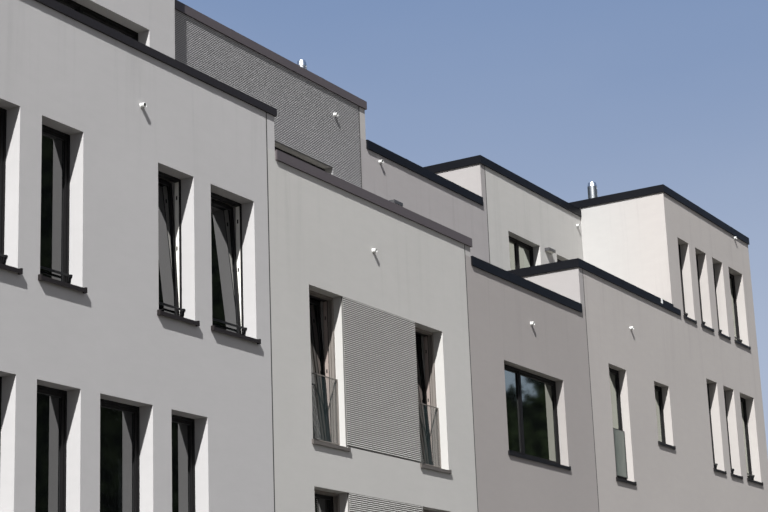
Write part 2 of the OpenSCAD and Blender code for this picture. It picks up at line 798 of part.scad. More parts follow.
// Coping: a sheet metal cap round a plan, hollowed where it sits over the wall tops.
// outer holds the masonry edges as [x0, y0, x1, y1] and inner the edges of the open middle.
// runs says with 1 or 0 which of the left, front, right and rear sides carry the coping
module coping(outer, inner, runs, top, h) {
    past = [for (r = runs) r == 1 ? coping_out : -coping_end_gap];
    short = [for (r = runs) r == 1 ? coping_in : -cut - coping_out];
    translate([0, 0, top - h]) difference() {
        linear_extrude(h) difference() {
            plan(outer + [-past[0], -past[1], past[2], past[3]]);
            plan(inner + [short[0], short[1], -short[2], -short[3]]);
        }
        translate([0, 0, -cut]) linear_extrude(h + cut - coping_cap) difference() {
            plan(outer);
            plan(inner);
        }
    }
}

module plan(r) {
    translate([r[0], r[1]]) square([r[2] - r[0], r[3] - r[1]]);
}

// Coping of a parapet: along the front, and back to the penthouse at the sides named
module parapet_coping(i, left, right) {
    x1 = i == last ? tower_x : edge_r[i];
    coping([edge_l[i], 0, x1, setback[i]],
        [left == 1 ? room_l[i] : edge_l[i], wall_t, right == 1 ? room_r[i] : x1, setback[i]],
        [left, 1, right, 0], parapet[i], face_h[i]);
}

module penthouse_coping(i, left, right) {
    x1 = i == last ? tower_x : edge_r[i];
    coping([edge_l[i], setback[i], x1, row_depth],
        [left == 1 ? room_l[i] : edge_l[i], setback[i] + pent_wall_t,
            right == 1 ? room_r[i] : x1, rear_y],
        [left, 1, right, 1], roof[i], face_h[i]);
}

// A raised house has side runs over each lower neighbour and over the end of the row
module house_coping(i, left, right) {
    color(coping_tone[i]) place() {
        parapet_coping(i, left, right);
        penthouse_coping(i, left, right);
        if (i == last) {
            coping([tower_x, 0, row_w, row_depth], [tower_room_l, wall_t, room_r[i], rear_y],
                [1, 1, 1, 1], tower_roof, coping_h);
            run_l = tower_x - 2 * coping_end_gap;
            block(run_l, -coping_out, parapet[i] - coping_h, tower_x, 0, parapet[i]);
            block(run_l, -coping_out, parapet[i] - coping_h,
                tower_x + flange_run, 0, parapet[i] - flange_drop);
        }
    }
}

// Drawing of the ribbed render in Y and Z: flat ridges with V grooves between them, spaced
// from the top
rib_total = rib_depth + rib_back;
module rib_drawing(z0, z1) {
    count = floor((z1 - z0) / rib_pitch);
    groove = (1 - ridge_share) / 2;
    front = [for (k = [0:count - 1], p = [[rib_depth, 0], [0, groove], [0, 1 - groove]])
        [p[0], z1 - (k + p[1]) * rib_pitch]];
    polygon(concat([[rib_total, z1]], front,
        [[rib_depth, z1 - count * rib_pitch], [rib_depth, z0], [rib_total, z0]]));
}

// The ribbed panel fills the wall between the two tall windows of an upper storey
relief_x = [joints[1] + b_win_x[0] * b_width + b_win_w[0], joints[1] + b_win_x[1] * b_width];
relief_storeys = [1, 2];
module relief_recess() {
    for (k = relief_storeys)
        block(relief_x[0], -cut, sill_b[k] - panel_drop, relief_x[1], rib_total, sill_b[k] + b_win_h);
}

module relief_panels() {
    for (k = relief_storeys) raise_side(relief_x[0], relief_x[1] - relief_x[0])
        rib_drawing(sill_b[k] - panel_drop, sill_b[k] + b_win_h);
}

// Ribbed cladding over the whole penthouse front of house b
module relief_cladding() {
    difference() {
        translate([0, setback[1], 0]) raise_side(wall_l[1], wall_r[1] - wall_l[1])
            rib_drawing(terrace_floor[1], roof[1] - coping_cap);
        raise_wall(setback[1] - cut, rib_total + 2 * cut) terrace_holes(1);
    }
}

module relief_render() {
    color(relief_tone) place() {
        relief_panels();
        relief_cladding();
    }
}

// Strips that close the joints between the houses, a little behind the wall faces
module movement_joints() {
    color(seal_tone) place() for (k = [1, 2, 3]) {
        x = joints[k] - half_gap;
        parapet_top = max(parapet[k - 1], parapet[k]) - coping_cap;
        roof_top = max(roof[k - 1], roof[k]) - coping_cap;
        low_terrace = min(terrace_floor[k - 1], terrace_floor[k]);
        block(x, joint_in, 0, x + joint_gap, joint_in + joint_strip_t, parapet_top);
        block(x, row_depth - joint_in - joint_strip_t, 0, x + joint_gap, row_depth - joint_in,
            roof_top);
        if (k > 1)
            block(x, pent_setback + joint_in, low_terrace, x + joint_gap,
                pent_setback + joint_in + joint_strip_t, roof_top);
    }
}

// Overflow spouts: an open pipe that stands out from the wall, as [x, y of the face, z].
// The first house drains its roof to the rear
function along(i, share) = joints[i] + share * widths[i];
spouts = concat(
    [for (i = houses) [along(i, terrace_spout_x[i]), 0, terrace_floor[i] + spout_up]],
    [for (i = [1:last]) [along(i, roof_spout_x[i - 1]), setback[i], deck[i] + spout_up]],
    [[along(tower, roof_spout_x[last]), 0, tower_deck + spout_up]]);
module overflow_spouts() {
    color(pipe_tone) place() for (s = spouts)
        translate(s) rotate([90, 0, 0]) difference() {
            cylinder(d = spout_d, h = spout_out);
            translate([0, 0, -cut]) cylinder(d = spout_bore, h = spout_out + 2 * cut);
        }
}

// Steel flues on the roof decks of house b and the tower, with a collar at the foot, a clamp
// band and a tapered mouth
flue_at = [[along(1, flue_x[0]), flue_y, deck[1]], [along(tower, flue_x[1]), flue_y, tower_deck]];
module flue(d, h) {
    r = d / 2;
    in = r - flue_wall;
    mouth_r = mouth_share * r;
    band = [h - clamp_down, h - clamp_down + clamp_h];
    band_r = r + flue_wall / 2;
    rotate_extrude() polygon([[in, 0], [r + flue_wall, 0], [r + flue_wall, flue_wall],
        [r, 3 * flue_wall], [r, band[0]], [band_r, band[0]], [band_r, band[1]], [r, band[1]],
        [r, h - mouth_h], [mouth_r, h], [mouth_r - flue_wall, h], [in, h - mouth_h]]);
}

module flues() {
    color(steel_tone) place()
        for (k = [0, 1]) translate(flue_at[k]) flue(flue_d[k], flue_h[k]);
}

// Flat wall lamps beside the terrace windows of houses c and d
lamp_house = [2, 3];
module wall_lamps() {
    color(seal_tone) place() for (k = [0, 1]) {
        i = lamp_house[k];
        translate([along(i, lamp_x[k]), setback[i], terrace_floor[i] + lamp_up[k]])
            block(0, -lamp_out, -lamp_h, lamp_w, 0, 0);
    }
}

// Entrance doors: a frame on three sides and a closed leaf
module entrance_doors() {
    color(frame_tone) place() for (i = houses) translate([joints[i], 0, 0]) {
        o = doors[i];
        raise_wall(reveal[i], frame_d) difference() {
            translate([o[0], o[1]]) square([o[2], o[3]]);
            translate([o[0] + frame_w, o[1] - cut])
                square([o[2] - 2 * frame_w, o[3] - frame_w + cut]);
        }
        block(o[0] + frame_w + sash_gap, reveal[i] + frame_d - door_leaf_d, o[1] + sash_seat,
            o[0] + o[2] - frame_w - sash_gap, reveal[i] + frame_d, o[1] + o[3] - frame_w - sash_gap);
    }
}

front_wall(0, 0, levels[0][2]);  // front_wall_a_lower
front_wall(0, levels[0][2], parapet[0]);  // front_wall_a_upper
front_wall(1, 0, parapet[1]);  // front_wall_b
front_wall(2, 0, parapet[2]);  // front_wall_c
front_wall(3, 0, levels[last][2]);  // front_wall_d_lower
front_wall(3, levels[last][2], parapet[3]);  // front_wall_d_upper
tower_front(0, levels[last][2]);  // tower_front_lower
tower_front(levels[last][2], terrace_floor[last]);  // tower_front_middle
tower_front(terrace_floor[last], tower_roof);  // tower_front_upper
rear_wall(0);  // rear_wall_a
rear_wall(1);  // rear_wall_b
rear_wall(2);  // rear_wall_c
rear_wall(3);  // rear_wall_d
tower_rear_wall();
penthouse_wall(0);  // penthouse_wall_a
penthouse_wall(1);  // penthouse_wall_b
penthouse_wall(2);  // penthouse_wall_c
penthouse_wall(3);  // penthouse_wall_d
party_walls();
end_wall_a();
end_wall_tower();
gable_skins();
floors();
roof_decks();
front_windows([0]);  // front_windows_a
front_windows([1]);  // front_windows_b
front_windows([2]);  // front_windows_c
front_windows([last, tower]);  // front_windows_d
rear_windows();
penthouse_windows();
window_glass();
window_sills();
blind_rails();
guard_rails();
glass_guards();
house_coping(0, 1, 1);  // coping_a
house_coping(1, 0, 1);  // coping_b
house_coping(2, 0, 0);  // coping_c
house_coping(3, 1, 0);  // coping_d
relief_render();
movement_joints();
overflow_spouts();
flues();
wall_lamps();
entrance_doors();
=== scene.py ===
import json
import math
import bmesh
import bpy
from mathutils import Matrix, Vector


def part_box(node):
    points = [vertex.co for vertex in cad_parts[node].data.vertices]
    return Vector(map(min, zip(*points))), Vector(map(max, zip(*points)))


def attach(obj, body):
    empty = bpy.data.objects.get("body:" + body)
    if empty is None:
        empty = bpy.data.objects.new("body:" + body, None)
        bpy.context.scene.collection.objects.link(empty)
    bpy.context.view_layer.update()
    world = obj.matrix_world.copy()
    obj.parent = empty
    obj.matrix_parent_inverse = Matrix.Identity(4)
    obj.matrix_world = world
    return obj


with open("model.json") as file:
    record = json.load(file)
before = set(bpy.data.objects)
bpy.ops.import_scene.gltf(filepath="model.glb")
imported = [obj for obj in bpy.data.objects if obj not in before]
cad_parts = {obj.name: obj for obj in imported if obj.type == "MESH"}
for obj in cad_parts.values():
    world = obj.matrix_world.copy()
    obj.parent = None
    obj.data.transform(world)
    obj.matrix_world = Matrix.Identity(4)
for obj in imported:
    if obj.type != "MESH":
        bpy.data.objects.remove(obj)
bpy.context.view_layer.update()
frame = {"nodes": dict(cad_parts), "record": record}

print("frame loaded:", len(frame["nodes"]), "nodes")


# A socket that takes part in Python expressions, so that shader maths reads as sums
class Wire:
    def __init__(self, finish, socket):
        self.finish, self.socket = finish, socket

    def maths(self, operation, *others):
        return self.finish.node("Math", {"operation": operation},
                                dict(enumerate((self,) + others)))[0]

    def __add__(self, other):
        return self.maths("ADD", other)

    def __sub__(self, other):
        return self.maths("SUBTRACT", other)

    def __mul__(self, other):
        return self.maths("MULTIPLY", other)

    def __rsub__(self, other):
        return self.finish.node("Math", {"operation": "SUBTRACT"}, {0: other, 1: self})[0]

    __radd__ = __add__
    __rmul__ = __mul__

    def above(self, low, high):
        # 0 below low, 1 above high, smooth between them
        return self.finish.node("MapRange", {"interpolation_type": "SMOOTHSTEP"},
                                {"Value": self, "From Min": low, "From Max": high})["Result"]

    def stretched(self, x, y, z):
        return self.finish.node("VectorMath", {"operation": "MULTIPLY"},
                                {0: self, 1: (x, y, z)})["Vector"]

    def part(self, axis):
        return self.finish.node("SeparateXYZ", {}, {0: self})[axis]


# The outputs of a node, each handed out as a wire
class Outputs:
    def __init__(self, finish, made):
        self.finish, self.made = finish, made

    def __getitem__(self, key):
        return Wire(self.finish, self.made.outputs[key])


# A node material, or the world, that is built by expressions
class Finish:
    def __init__(self, name, holder=None):
        self.material = holder or bpy.data.materials.new(name)
        self.material.use_nodes = True
        self.material.node_tree.nodes.clear()
        self.place = self.node("TexCoord")["Object"]

    def node(self, kind, settings=None, values=None):
        made = self.material.node_tree.nodes.new("ShaderNode" + kind)
        for key, value in (settings or {}).items():
            if key == "stops":
                for stop, (position, colour) in zip(made.color_ramp.elements, value):
                    stop.position, stop.color = position, (*colour, 1)
            else:
                setattr(made, key, value)
        for key, value in (values or {}).items():
            if isinstance(value, Wire):
                self.material.node_tree.links.new(value.socket, made.inputs[key])
            else:
                made.inputs[key].default_value = value
        return Outputs(self, made)

    def noise(self, place, scale, detail, roughness=0.5):
        return self.node("TexNoise", {}, {"Vector": place, "Scale": scale, "Detail": detail,
                                          "Roughness": roughness})["Fac"]

    def mix(self, factor, first, second, blend="MIX"):
        return self.node("Mix", {"data_type": "RGBA", "blend_type": blend},
                         {0: factor, 6: first, 7: second})[2]

    def shaded(self, colour, amount):
        # darkens or lightens a colour by a factor round 1
        grey = self.node("CombineXYZ", {}, {0: amount, 1: amount, 2: amount})["Vector"]
        return self.mix(1.0, colour, grey, "MULTIPLY")

    def bump(self, height, distance, strength):
        return self.node("Bump", {}, {"Height": height, "Distance": distance,
                                      "Strength": strength})["Normal"]

    def surface(self, values):
        self.close(self.node("BsdfPrincipled", {}, values)["BSDF"])
        return self.material

    def close(self, shader):
        self.node("OutputMaterial", {}, {"Surface": shader})


def tint(red, green, blue):
    # a colour written as a paint chart gives it, 0 to 255
    def linear(v):
        v /= 255
        return v / 12.92 if v <= 0.04045 else ((v + 0.055) / 1.055) ** 2.4
    return (linear(red), linear(green), linear(blue), 1.0)


# Planes of the CAD model that several finishes and pieces refer to
facadeFace = -4.995
penthouseFace = -3.195
towerLine = 7.54
# Where one house ends and the next begins, from a to d
jointLines = [-6.44, -1.06, 3.36]

# The stage: floor, sky and light
stageLook = {
    "floorSize": 160.0,
    "floorSeen": tint(164, 164, 161),
    "floorBounce": tint(64, 60, 54),
    "skyLow": tint(176, 188, 209),
    "skyHigh": tint(106, 134, 178),
    "skyRise": (0.10, 0.52),  # heights between which the low colour turns into the high one
    "haze": 0.09,
    "skyLight": (0.41, 0.425, 0.465, 1.0),
    "sunTo": (0.65, 0.24, -0.72),
    "sunStrength": 8.7,
    "sunAngle": 0.9,
    "sunTint": (1.0, 1.0, 0.99),
    "treeRing": 75.0,
    "treesNear": 48.0,  # top of the trees that houses a and b mirror
    "treesFar": 21.1,  # top of the trees that houses c and d mirror
    "treesTurn": (58.0, 64.0),  # along the row, where the near trees give way to the far ones
}


def seenRays(finish):
    # 1 for rays that show the background: straight, in a reflection or through glass
    path = finish.node("LightPath")
    return path["Is Camera Ray"].maths("MAXIMUM", path["Is Glossy Ray"]).maths(
        "MAXIMUM", path["Is Transmission Ray"])


def makeFloor(look):
    mesh = bmesh.new()
    bmesh.ops.create_circle(mesh, cap_ends=True, segments=96, radius=look["floorSize"])
    data = bpy.data.meshes.new("floor")
    mesh.to_mesh(data)
    mesh.free()
    floor = bpy.data.objects.new("floor", data)
    bpy.context.scene.collection.objects.link(floor)
    finish = Finish("floor")
    colour = finish.mix(seenRays(finish), look["floorBounce"], look["floorSeen"])
    data.materials.append(finish.surface({"Base Color": colour, "Roughness": 0.9}))


def makeSky(look):
    world = bpy.data.worlds.new("sky")
    finish = Finish("sky", world)
    towards = finish.node("TexCoord")["Generated"]
    haze = finish.noise(towards.stretched(1.0, 1.0, 3.0), 2.2, 4.0, 0.55) - 0.5
    rise = (towards.part("Z") + haze * look["haze"]).above(*look["skyRise"])
    seen = finish.mix(rise, look["skyLow"], look["skyHigh"])
    colour = finish.mix(seenRays(finish), look["skyLight"], seen)
    light = finish.node("Background", {}, {"Color": colour})["Background"]
    finish.node("OutputWorld", {}, {"Surface": light})
    bpy.context.scene.world = world


def makeSun(look):
    lamp = bpy.data.lights.new("sun", "SUN")
    lamp.energy = look["sunStrength"]
    lamp.angle = math.radians(look["sunAngle"])
    lamp.color = look["sunTint"]
    sun = bpy.data.objects.new("sun", lamp)
    sun.rotation_euler = Vector(look["sunTo"]).to_track_quat("-Z", "Y").to_euler()
    bpy.context.scene.collection.objects.link(sun)


# A ring of dark trees far out, which only the window panes mirror
def makeTreeRing(look):
    mesh = bmesh.new()
    bmesh.ops.create_cone(mesh, cap_ends=False, segments=96, radius1=look["treeRing"],
                          radius2=look["treeRing"], depth=look["treesNear"] * 1.4)
    bmesh.ops.translate(mesh, verts=mesh.verts, vec=(0, 0, look["treesNear"] * 0.7))
    data = bpy.data.meshes.new("treeRing")
    mesh.to_mesh(data)
    mesh.free()
    ring = bpy.data.objects.new("treeRing", data)
    bpy.context.scene.collection.objects.link(ring)
    finish = Finish("trees")
    height = finish.place.part("Z")
    crowns = finish.noise(finish.place.stretched(1, 1, 0.6), 0.22, 6.0, 0.62)
    leaves = finish.noise(finish.place, 1.3, 4.0, 0.7)
    far = finish.place.part("X").above(*look["treesTurn"])
    tall = look["treesNear"] - far * (look["treesNear"] - look["treesFar"])
    top = tall * (0.66 + crowns * 0.68)
    gap = (height - top + (leaves - 0.5) * 3.0).above(-0.1, 0.1)
    colour = finish.mix(leaves.above(0.4, 0.66), tint(12, 15, 12), tint(46, 55, 38))
    glow = finish.node("Emission", {}, {"Color": colour, "Strength": 1.0})["Emission"]
    clear = finish.node("BsdfTransparent")["BSDF"]
    finish.close(finish.node("MixShader", {}, {0: gap, 1: glow, 2: clear})["Shader"])
    data.materials.append(finish.material)
    ring.visible_camera = ring.visible_diffuse = ring.visible_shadow = False
    ring.visible_transmission = False


# The camera at the photograph's viewing angle
cameraLook = {
    "stand": (-24.92, -17.395, 1.65),  # 12.4 m in front of the facade, at eye height
    "heading": 59.89,  # from straight at the facade towards the tower
    "tilt": 15.147,
    "roll": -2.202,
    "lens": 84.98,
}


def makeCamera(look):
    camera = bpy.data.objects.new("camera", bpy.data.cameras.new("camera"))
    camera.data.lens = look["lens"]
    camera.data.sensor_width = 36
    camera.data.clip_end = 600
    turn = (Matrix.Rotation(math.radians(-look["heading"]), 4, "Z")
            @ Matrix.Rotation(math.radians(90 + look["tilt"]), 4, "X")
            @ Matrix.Rotation(math.radians(look["roll"]), 4, "Z"))
    camera.matrix_world = Matrix.Translation(look["stand"]) @ turn
    bpy.context.scene.collection.objects.link(camera)
    bpy.context.scene.camera = camera


makeFloor(stageLook)
makeSky(stageLook)
makeSun(stageLook)
makeTreeRing(stageLook)
makeCamera(cameraLook)
bpy.context.scene.view_settings.view_transform = "Standard"
print("stage, light and camera set")

# Finishes of the walls
wallLook = {
    # house: colour of the facade and of the penthouse, and the top of the wall for the streaks
    "a": {"colour": tint(171, 169, 169), "upper": tint(171, 169, 169), "top": 9.65},
    "b": {"colour": tint(176, 174, 171), "upper": tint(176, 174, 171), "top": 9.03},
    "c": {"colour": tint(148, 143, 141), "upper": tint(154, 150, 150), "top": 8.75},
    "d": {"colour": tint(166, 161, 158), "upper": tint(176, 174, 171), "top": 9.56},
    "towerSide": tint(166, 164, 162),
    "cloud": 0.05,  # faint large clouds in the colour
    "trowel": 0.045,  # marks of the float, wider than high
    "streak": 0.08,  # rain streaks under the copings
    "grain": 0.0011,
    "baseHeight": 0.32,  # the foot of the walls has a darker splash coat
    "baseTone": 0.72,
    "dripRun": 2.4,  # length of the rain streaks
    "skinTop": 11.6,
}


def renderFinish(name, colour, top, shared):
    finish = Finish(name)
    place = finish.place
    cloud = finish.noise(place, 0.55, 4.0) - 0.5
    trowel = finish.noise(place.stretched(1, 1, 2.6), 3.2, 5.0, 0.6) - 0.5
    grain = finish.noise(place, 330.0, 3.0, 0.65)
    drip = finish.noise(place.stretched(5.5, 5.5, 0.28), 1.0, 4.0, 0.62).above(0.5, 0.78)
    height = place.part("Z")
    wet = height.above(top - shared["dripRun"], top) * drip
    splash = 1 - height.above(shared["baseHeight"] - 0.002, shared["baseHeight"])
    tone = (1 + cloud * (2 * shared["cloud"]) + trowel * (2 * shared["trowel"])
            + (grain - 0.5) * 0.10 - wet * shared["streak"]
            - splash * (1 - shared["baseTone"]))
    return finish.surface({
        "Base Color": finish.shaded(colour(finish), tone),
        "Roughness": 0.86 + trowel * 0.1,
        "Specular IOR Level": 0.25,
        "Normal": finish.bump(grain + trowel * 0.8, shared["grain"], 0.9),
    })


def houseTone(house):
    # the penthouse was rendered apart from the facade and is a little lighter
    def tone(finish):
        tower = finish.place.part("X").above(towerLine - 0.02, towerLine)
        upper = finish.mix(tower, wallLook[house]["upper"], wallLook["towerSide"])
        setBack = finish.place.part("Y").above(-4.9, -3.4)
        return finish.mix(setBack, wallLook[house]["colour"], upper)
    return tone


def skinTones(finish):
    # each skin is rendered like the lower house beside it
    along = finish.place.part("X")
    rightHand = finish.mix(along.above(1.0, 1.1), tint(164, 161, 159), tint(150, 146, 145))
    return finish.mix(along.above(-3.1, -3.0), tint(171, 169, 169), rightHand)


reliefLook = {
    "panel": tint(186, 184, 180),
    "penthouse": tint(172, 171, 172),
    # Painted shade and dust: the floor of a groove is darkened to this share of the colour, on top
    # of the shadows the ribs cast
    "panelGroove": 0.24,  # the floor of a groove holds shade and dust
    "penthouseGroove": 0.55,
    "depth": 0.012,  # of the grooves
}


def reliefFinish(look):
    finish = Finish("renderRelief")
    place = finish.place
    behind = place.part("Y")
    high = behind.above(-4.2, -4.1)
    face = facadeFace + high * (penthouseFace - facadeFace)
    # painted shade: the deeper a point lies in a groove, the darker its colour
    sunk = (behind - face).above(0.0, look["depth"] * 0.7)
    groove = look["panelGroove"] + high * (look["penthouseGroove"] - look["panelGroove"])
    grain = finish.noise(place, 260.0, 3.0, 0.65)
    wander = finish.noise(place.stretched(1, 1, 4), 2.4, 4.0) - 0.5
    tone = (1 - sunk * (1 - groove)) * (1 + (grain - 0.5) * 0.22 + wander * 0.08)
    return finish.surface({
        "Base Color": finish.shaded(finish.mix(high, look["panel"], look["penthouse"]), tone),
        "Roughness": 0.88 + grain * 0.06,
        "Specular IOR Level": 0.25,
        "Normal": finish.bump(grain, 0.0016, 0.9),
    })


def smoothFinish(name, colour, roughness, grain=0.0006, scale=160.0, metallic=0.0, mottle=0.06,
                 **more):
    # paint, plaster or sheet metal with a faint orange peel and slight dulling
    finish = Finish(name)
    peel = finish.noise(finish.place, scale, 2.0)
    dull = finish.noise(finish.place, 1.7, 4.0, 0.6)
    if callable(colour):
        colour = colour(finish)
    values = {
        "Base Color": finish.shaded(colour, 1 + (dull - 0.5) * mottle * 2 + (peel - 0.5) * 0.04),
        "Roughness": roughness + (dull - 0.5) * 0.16,
        "Metallic": metallic,
        "Normal": finish.bump(peel, grain, 0.5),
    }
    return finish.surface({**values, **more})


def darkPaint(name, colour, roughness=0.5, specular=0.22):
    # coil coat and powder coat of the copings, sills and frames
    return smoothFinish(name, colour, roughness, 0.0012, 11.0,
                        **{"Specular IOR Level": specular})


def byHouse(finish, colours):
    # one colour for each house, from a to d
    along = finish.place.part("X")
    colour = colours[0]
    for line, following in zip(jointLines, colours[1:]):
        colour = finish.mix(along.above(line - 0.01, line + 0.01), colour, following)
    return colour


paneLook = {
    "clean": tint(12, 14, 15),
    "dusty": tint(27, 29, 30),
    "plain": {"IOR": 1.65, "Coat Weight": 1.0, "Coat IOR": 1.55, "Coat Roughness": 0.01},
    "film": tint(188, 196, 182),  # the metal film of the sun glass at houses c and d
    "filmShare": 0.6,
}


def paneFinish(look):
    # sealed units: the film on those of houses c and d mirrors more, and a little greener
    finish = Finish("windowGlass")
    wave = finish.noise(finish.place.stretched(1, 1, 0.7), 1.1, 1.0)
    dust = finish.noise(finish.place, 24.0, 3.0, 0.7)
    shared = {
        "Roughness": 0.015 + dust * 0.03,
        "Normal": finish.bump(wave, 0.004, 0.2),
    }
    body = finish.mix(dust.above(0.3, 0.8), look["clean"], look["dusty"])
    plain = finish.node("BsdfPrincipled", {}, {"Base Color": body, **shared,
                                               **look["plain"]})["BSDF"]
    film = finish.node("BsdfPrincipled", {}, {"Base Color": finish.shaded(look["film"],
                                                                          1 - dust * 0.1),
                                              "Metallic": 1.0, **shared})["BSDF"]
    right = finish.place.part("X").above(jointLines[1] - 0.01, jointLines[1] + 0.01)
    share = right * look["filmShare"]
    finish.close(finish.node("MixShader", {}, {0: share, 1: plain, 2: film})["Shader"])
    return finish.material


guardLook = {"clear": tint(70, 84, 86), "frosted": tint(104, 111, 105)}


def guardFinish(look):
    # clear glass at house b, frosted and faintly green at house d
    finish = Finish("guardGlass")
    frosted = finish.place.part("X").above(3.3, 3.4)
    film = finish.noise(finish.place.stretched(1, 1, 0.2), 9.0, 3.0)
    colour = finish.mix(frosted, look["clear"], look["frosted"])
    return finish.surface({
        "Base Color": finish.shaded(colour, 0.84 + film * 0.32),
        "Roughness": 0.03 + frosted * 0.35,
        "Alpha": 0.14 + frosted * 0.68,
        "IOR": 1.6,
    })


finishes = {
    "render_" + house: renderFinish("render_" + house, houseTone(house),
                                    wallLook[house]["top"], wallLook)
    for house in "abcd"}
skinFinish = renderFinish("renderSkins", skinTones, wallLook["skinTop"], wallLook)
finishes["render_relief"] = reliefFinish(reliefLook)
finishes["masonry"] = smoothFinish("plaster", tint(166, 164, 160), 0.9, 0.001, 60.0)
finishes["concrete"] = smoothFinish("concrete", tint(150, 148, 143), 0.85, 0.0012, 40.0,
                                    mottle=0.12)
finishes["roofing"] = smoothFinish("roofing", tint(112, 111, 108), 0.9, 0.004, 55.0, mottle=0.14)
# Colours by house, from a to d
sillTones = [tint(33, 29, 29), tint(88, 84, 81), tint(17, 16, 18), tint(30, 28, 28)]
guardTones = [tint(22, 22, 24), tint(116, 110, 105), tint(22, 22, 24), tint(30, 31, 32)]
finishes["frame_metal"] = darkPaint("framePaint", tint(21, 20, 21), 0.5, 0.14)
finishes["sill_metal"] = darkPaint("sillPaint", lambda f: byHouse(f, sillTones), 0.5)
finishes["rail_metal"] = darkPaint("railPaint", tint(118, 112, 107), 0.5)
finishes["guard_metal"] = darkPaint("guardPaint", lambda f: byHouse(f, guardTones), 0.45)
finishes["door_metal"] = darkPaint("doorPaint", tint(46, 48, 52), 0.45)
finishes["coping_a"] = darkPaint("copingPaintA", tint(35, 32, 33))
finishes["coping_b"] = darkPaint("copingPaintB", tint(80, 74, 76))
finishes["coping_cd"] = darkPaint("copingPaintCD", tint(11, 12, 17), 0.5, 0.16)
finishes["joint_seal"] = smoothFinish("jointTape", tint(58, 56, 54), 0.85)
finishes["spout_plastic"] = smoothFinish("spoutPlastic", tint(200, 200, 197), 0.4)
finishes["flue_steel"] = smoothFinish("flueSteel", tint(200, 202, 204), 0.36, 0.0004, 20.0, 1.0)
finishes["lamp_body"] = smoothFinish("lampBody", tint(60, 60, 62), 0.5)
finishes["window_glass"] = paneFinish(paneLook)
finishes["guard_glass"] = guardFinish(guardLook)

slotOf = {row["node"]: row["material_slot"] for row in frame["record"]["subparts"]}
for name, node in frame["nodes"].items():
    node.data.materials.clear()
    node.data.materials.append(skinFinish if name == "gable_skins" else finishes[slotOf[name]])
print("finishes set on", len(slotOf), "nodes")

# The added pieces take their places from the CAD solids that carry them
def solidsOf(name):
    # lowest and highest corner of each separate solid in a CAD node
    mesh = bmesh.new()
    mesh.from_mesh(frame["nodes"][name].data)
    bmesh.ops.remove_doubles(mesh, verts=mesh.verts, dist=0.0001)
    left, boxes = set(mesh.verts), []
    while left:
        reached, rim = [], [left.pop()]
        while rim:
            vert = rim.pop()
            reached.append(vert.co.copy())
            for edge in vert.link_edges:
                other = edge.other_vert(vert)
                if other in left:
                    left.discard(other)
                    rim.append(other)
        boxes.append([Vector(pick(place[k] for place in reached) for k in range(3))
                      for pick in (min, max)])
    mesh.free()
    return sorted(boxes, key=lambda box: [round(box[0][axis], 3) for axis in (0, 2, 1)])


def piece(name, mesh, slotName, finish=None):
    bmesh.ops.recalc_face_normals(mesh, faces=mesh.faces)
    data = bpy.data.meshes.new(name)
    mesh.to_mesh(data)
    mesh.free()
    made = bpy.data.objects.new(name, data)
    bpy.context.scene.collection.objects.link(made)
    data.materials.append(finish or finishes[slotName])
    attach(made, "root")
    return made


def bar(mesh, low, high, soft):
    # a bar between two corners with edges softened by that much
    low, high = Vector(low), Vector(high)
    made = bmesh.ops.create_cube(mesh, size=1.0)["verts"]
    bmesh.ops.scale(mesh, verts=made, vec=high - low)
    bmesh.ops.translate(mesh, verts=made, vec=(low + high) / 2)
    edges = list(dict.fromkeys(edge for vert in made for edge in vert.link_edges))
    bmesh.ops.bevel(mesh, geom=edges, offset=soft, segments=2, affect="EDGES", profile=0.5,
                    material=-1)


def turned(mesh, outline, foot, axis, steps):
    # an outline of (radius, height) turned round an axis; one that ends on the axis stays open
    foot, axis = Vector(foot), Vector(axis)
    side = axis.orthogonal().normalized()
    verts = [mesh.verts.new(foot + side * radius + axis * height) for radius, height in outline]
    pairs = list(zip(verts, verts[1:]))
    if outline[0][0] > 0:
        pairs.append((verts[-1], verts[0]))
    edges = [mesh.edges.new(pair) for pair in pairs]
    bmesh.ops.spin(mesh, geom=verts + edges, cent=foot, axis=axis, angle=2 * math.pi,
                   steps=steps, use_merge=True)
    bmesh.ops.remove_doubles(mesh, verts=mesh.verts, dist=0.00001)


def flatFrame(mesh, low, high, width, proud):
    # a flat frame that lies on a front face between two corners of that face
    before = set(mesh.faces)
    bmesh.ops.create_grid(mesh, x_segments=1, y_segments=1, size=0.5)
    face = [f for f in mesh.faces if f not in before]
    verts = list(face[0].verts)
    bmesh.ops.scale(mesh, verts=verts, vec=(high[0] - low[0], high[2] - low[2], 1))
    bmesh.ops.rotate(mesh, verts=verts, cent=(0, 0, 0), matrix=Matrix.Rotation(math.pi / 2, 3, "X"))
    bmesh.ops.translate(mesh, verts=verts,
                        vec=((low[0] + high[0]) / 2, low[1], (low[2] + high[2]) / 2))
    rim = bmesh.ops.inset_individual(mesh, faces=face, thickness=width)["faces"]
    bmesh.ops.delete(mesh, geom=face, context="FACES_ONLY")
    bmesh.ops.solidify(mesh, geom=rim, thickness=-proud)


# Rubber seals round the panes, which follow the tilted sashes too
sealLook = {
    "width": 0.009, "proud": 0.003, "rubber": tint(22, 22, 23),
    "smallest": 0.06,  # area in square metres below which a face is the edge of a pane
}


